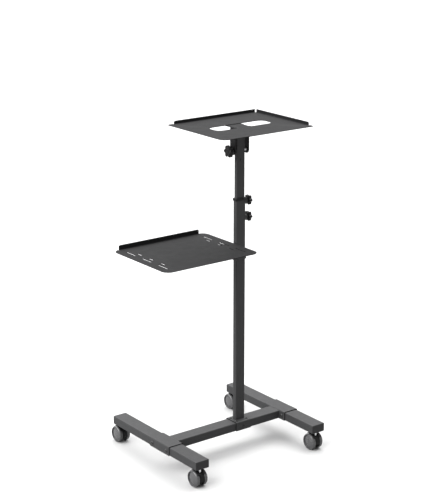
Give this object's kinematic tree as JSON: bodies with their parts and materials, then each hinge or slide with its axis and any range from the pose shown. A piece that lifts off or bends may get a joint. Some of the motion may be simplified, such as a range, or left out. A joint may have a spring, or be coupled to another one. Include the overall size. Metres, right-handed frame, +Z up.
{
  "type": "portable projector stand",
  "caption": "Height-adjustable rolling stand with an H base on casters, a telescoping mast, a tilting upper tray and a lower tray for a projector.",
  "frame": {"origin": "on the floor, under the middle of the outline (bounding box) with the trays at their pictured heights", "axes": "+Z up; +X along the crossbar from the lower tray's side to the mast's side; +Y towards the user's side, where the trays have their lips"},
  "size_m": [0.6664, 0.538, 1.201],
  "materials": {
    "powder_coat": "fine textured charcoal powder coat",
    "black_coat": "fine textured black powder coat",
    "black_plastic": "moulded, fine grain",
    "black_screws": "black oxide, semi-gloss",
    "caster_black": "moulded, satin",
    "caster_grey": "grey moulded wheel",
    "zinc_steel": "zinc plated"
  },
  "bodies": {
    "base": {"leg_tube_left": "powder_coat", "leg_tube_right": "powder_coat", "leg_end_caps": "black_plastic", "crossbar_tube": "powder_coat", "leg_saddle_left": "powder_coat", "leg_saddle_right": "powder_coat", "leg_bolts": "black_screws", "mast_saddle": "powder_coat", "mast_saddle_screws": "black_screws", "mast_outer_tube": "powder_coat", "clamp_bosses": "powder_coat", "mast_collar": "black_plastic", "caster_stems": "zinc_steel"},
    "mast": {"mast_inner_tube": "powder_coat", "mast_stop_screws": "black_screws", "mast_top_plug": "black_plastic", "tilt_pivot_bolt": "black_screws", "tilt_spacers": "black_screws"},
    "upper_tray": {"upper_tray_plate": "black_coat", "tilt_bracket": "black_coat", "tilt_bracket_screws": "black_screws"},
    "tilt_knob": {"tilt_knob": "black_plastic"},
    "mast_knob_upper": {"mast_knob_upper": "black_plastic"},
    "mast_knob_lower": {"mast_knob_lower": "black_plastic"},
    "lower_tray": {"lower_tray_plate": "black_coat", "lower_tray_arm": "powder_coat"},
    "tray_clamp_knob": {"tray_clamp_knob": "black_plastic"},
    "caster_front_left": {"caster_hood_front_left": "caster_black", "caster_axle_front_left": "zinc_steel"},
    "caster_wheel_front_left_left": {"caster_wheel_front_left_left": "caster_grey"},
    "caster_wheel_front_left_right": {"caster_wheel_front_left_right": "caster_grey"},
    "caster_rear_left": {"caster_hood_rear_left": "caster_black", "caster_axle_rear_left": "zinc_steel"},
    "caster_wheel_rear_left_left": {"caster_wheel_rear_left_left": "caster_grey"},
    "caster_wheel_rear_left_right": {"caster_wheel_rear_left_right": "caster_grey"},
    "caster_front_right": {"caster_hood_front_right": "caster_black", "caster_axle_front_right": "zinc_steel"},
    "caster_wheel_front_right_left": {"caster_wheel_front_right_left": "caster_grey"},
    "caster_wheel_front_right_right": {"caster_wheel_front_right_right": "caster_grey"},
    "caster_rear_right": {"caster_hood_rear_right": "caster_black", "caster_axle_rear_right": "zinc_steel"},
    "caster_wheel_rear_right_left": {"caster_wheel_rear_right_left": "caster_grey"},
    "caster_wheel_rear_right_right": {"caster_wheel_rear_right_right": "caster_grey"}
  },
  "joints": [
    {"name": "mast_slide", "type": "slide", "parent": "base", "child": "mast", "axis": [0, 0, 1], "range_m": [-0.1124, 0.2232]},
    {"name": "upper_tray_tilt", "type": "hinge", "parent": "mast", "child": "upper_tray", "pos_m": [0.10075, -0.053, 1.105], "axis": [-1, 0, 0], "range_deg": [-15, 30]},
    {"name": "lower_tray_slide", "type": "slide", "parent": "base", "child": "lower_tray", "axis": [0, 0, 1], "range_m": [-0.5, 0.085]},
    {"name": "tilt_knob_turn", "type": "hinge", "parent": "mast", "child": "tilt_knob", "pos_m": [0.06125, -0.053, 1.105], "axis": [-1, 0, 0], "range_deg": [0, 360]},
    {"name": "mast_knob_upper_turn", "type": "hinge", "parent": "base", "child": "mast_knob_upper", "pos_m": [0.13375, -0.053, 0.921], "axis": [1, 0, 0], "range_deg": [0, 360]},
    {"name": "mast_knob_lower_turn", "type": "hinge", "parent": "base", "child": "mast_knob_lower", "pos_m": [0.13375, -0.053, 0.862], "axis": [1, 0, 0], "range_deg": [0, 360]},
    {"name": "tray_clamp_knob_turn", "type": "hinge", "parent": "lower_tray", "child": "tray_clamp_knob", "pos_m": [0.10075, -0.026, 0.73], "axis": [0, 1, 0], "range_deg": [0, 360]},
    {"name": "caster_front_left_swivel", "type": "hinge", "parent": "base", "child": "caster_front_left", "pos_m": [-0.22075, -0.251, 0.065], "axis": [0, 0, 1], "continuous": true},
    {"name": "caster_wheel_front_left_left_spin", "type": "hinge", "parent": "caster_front_left", "child": "caster_wheel_front_left_left", "pos_m": [-0.23725, -0.239, 0.03], "axis": [1, 0, 0], "continuous": true},
    {"name": "caster_wheel_front_left_right_spin", "type": "hinge", "parent": "caster_front_left", "child": "caster_wheel_front_left_right", "pos_m": [-0.20425, -0.239, 0.03], "axis": [1, 0, 0], "continuous": true},
    {"name": "caster_rear_left_swivel", "type": "hinge", "parent": "base", "child": "caster_rear_left", "pos_m": [-0.22075, 0.227, 0.065], "axis": [0, 0, 1], "continuous": true},
    {"name": "caster_wheel_rear_left_left_spin", "type": "hinge", "parent": "caster_rear_left", "child": "caster_wheel_rear_left_left", "pos_m": [-0.23725, 0.239, 0.03], "axis": [1, 0, 0], "continuous": true},
    {"name": "caster_wheel_rear_left_right_spin", "type": "hinge", "parent": "caster_rear_left", "child": "caster_wheel_rear_left_right", "pos_m": [-0.20425, 0.239, 0.03], "axis": [1, 0, 0], "continuous": true},
    {"name": "caster_front_right_swivel", "type": "hinge", "parent": "base", "child": "caster_front_right", "pos_m": [0.29925, -0.251, 0.065], "axis": [0, 0, 1], "continuous": true},
    {"name": "caster_wheel_front_right_left_spin", "type": "hinge", "parent": "caster_front_right", "child": "caster_wheel_front_right_left", "pos_m": [0.28275, -0.239, 0.03], "axis": [1, 0, 0], "continuous": true},
    {"name": "caster_wheel_front_right_right_spin", "type": "hinge", "parent": "caster_front_right", "child": "caster_wheel_front_right_right", "pos_m": [0.31575, -0.239, 0.03], "axis": [1, 0, 0], "continuous": true},
    {"name": "caster_rear_right_swivel", "type": "hinge", "parent": "base", "child": "caster_rear_right", "pos_m": [0.29925, 0.227, 0.065], "axis": [0, 0, 1], "continuous": true},
    {"name": "caster_wheel_rear_right_left_spin", "type": "hinge", "parent": "caster_rear_right", "child": "caster_wheel_rear_right_left", "pos_m": [0.28275, 0.239, 0.03], "axis": [1, 0, 0], "continuous": true},
    {"name": "caster_wheel_rear_right_right_spin", "type": "hinge", "parent": "caster_rear_right", "child": "caster_wheel_rear_right_right", "pos_m": [0.31575, 0.239, 0.03], "axis": [1, 0, 0], "continuous": true}
  ]
}
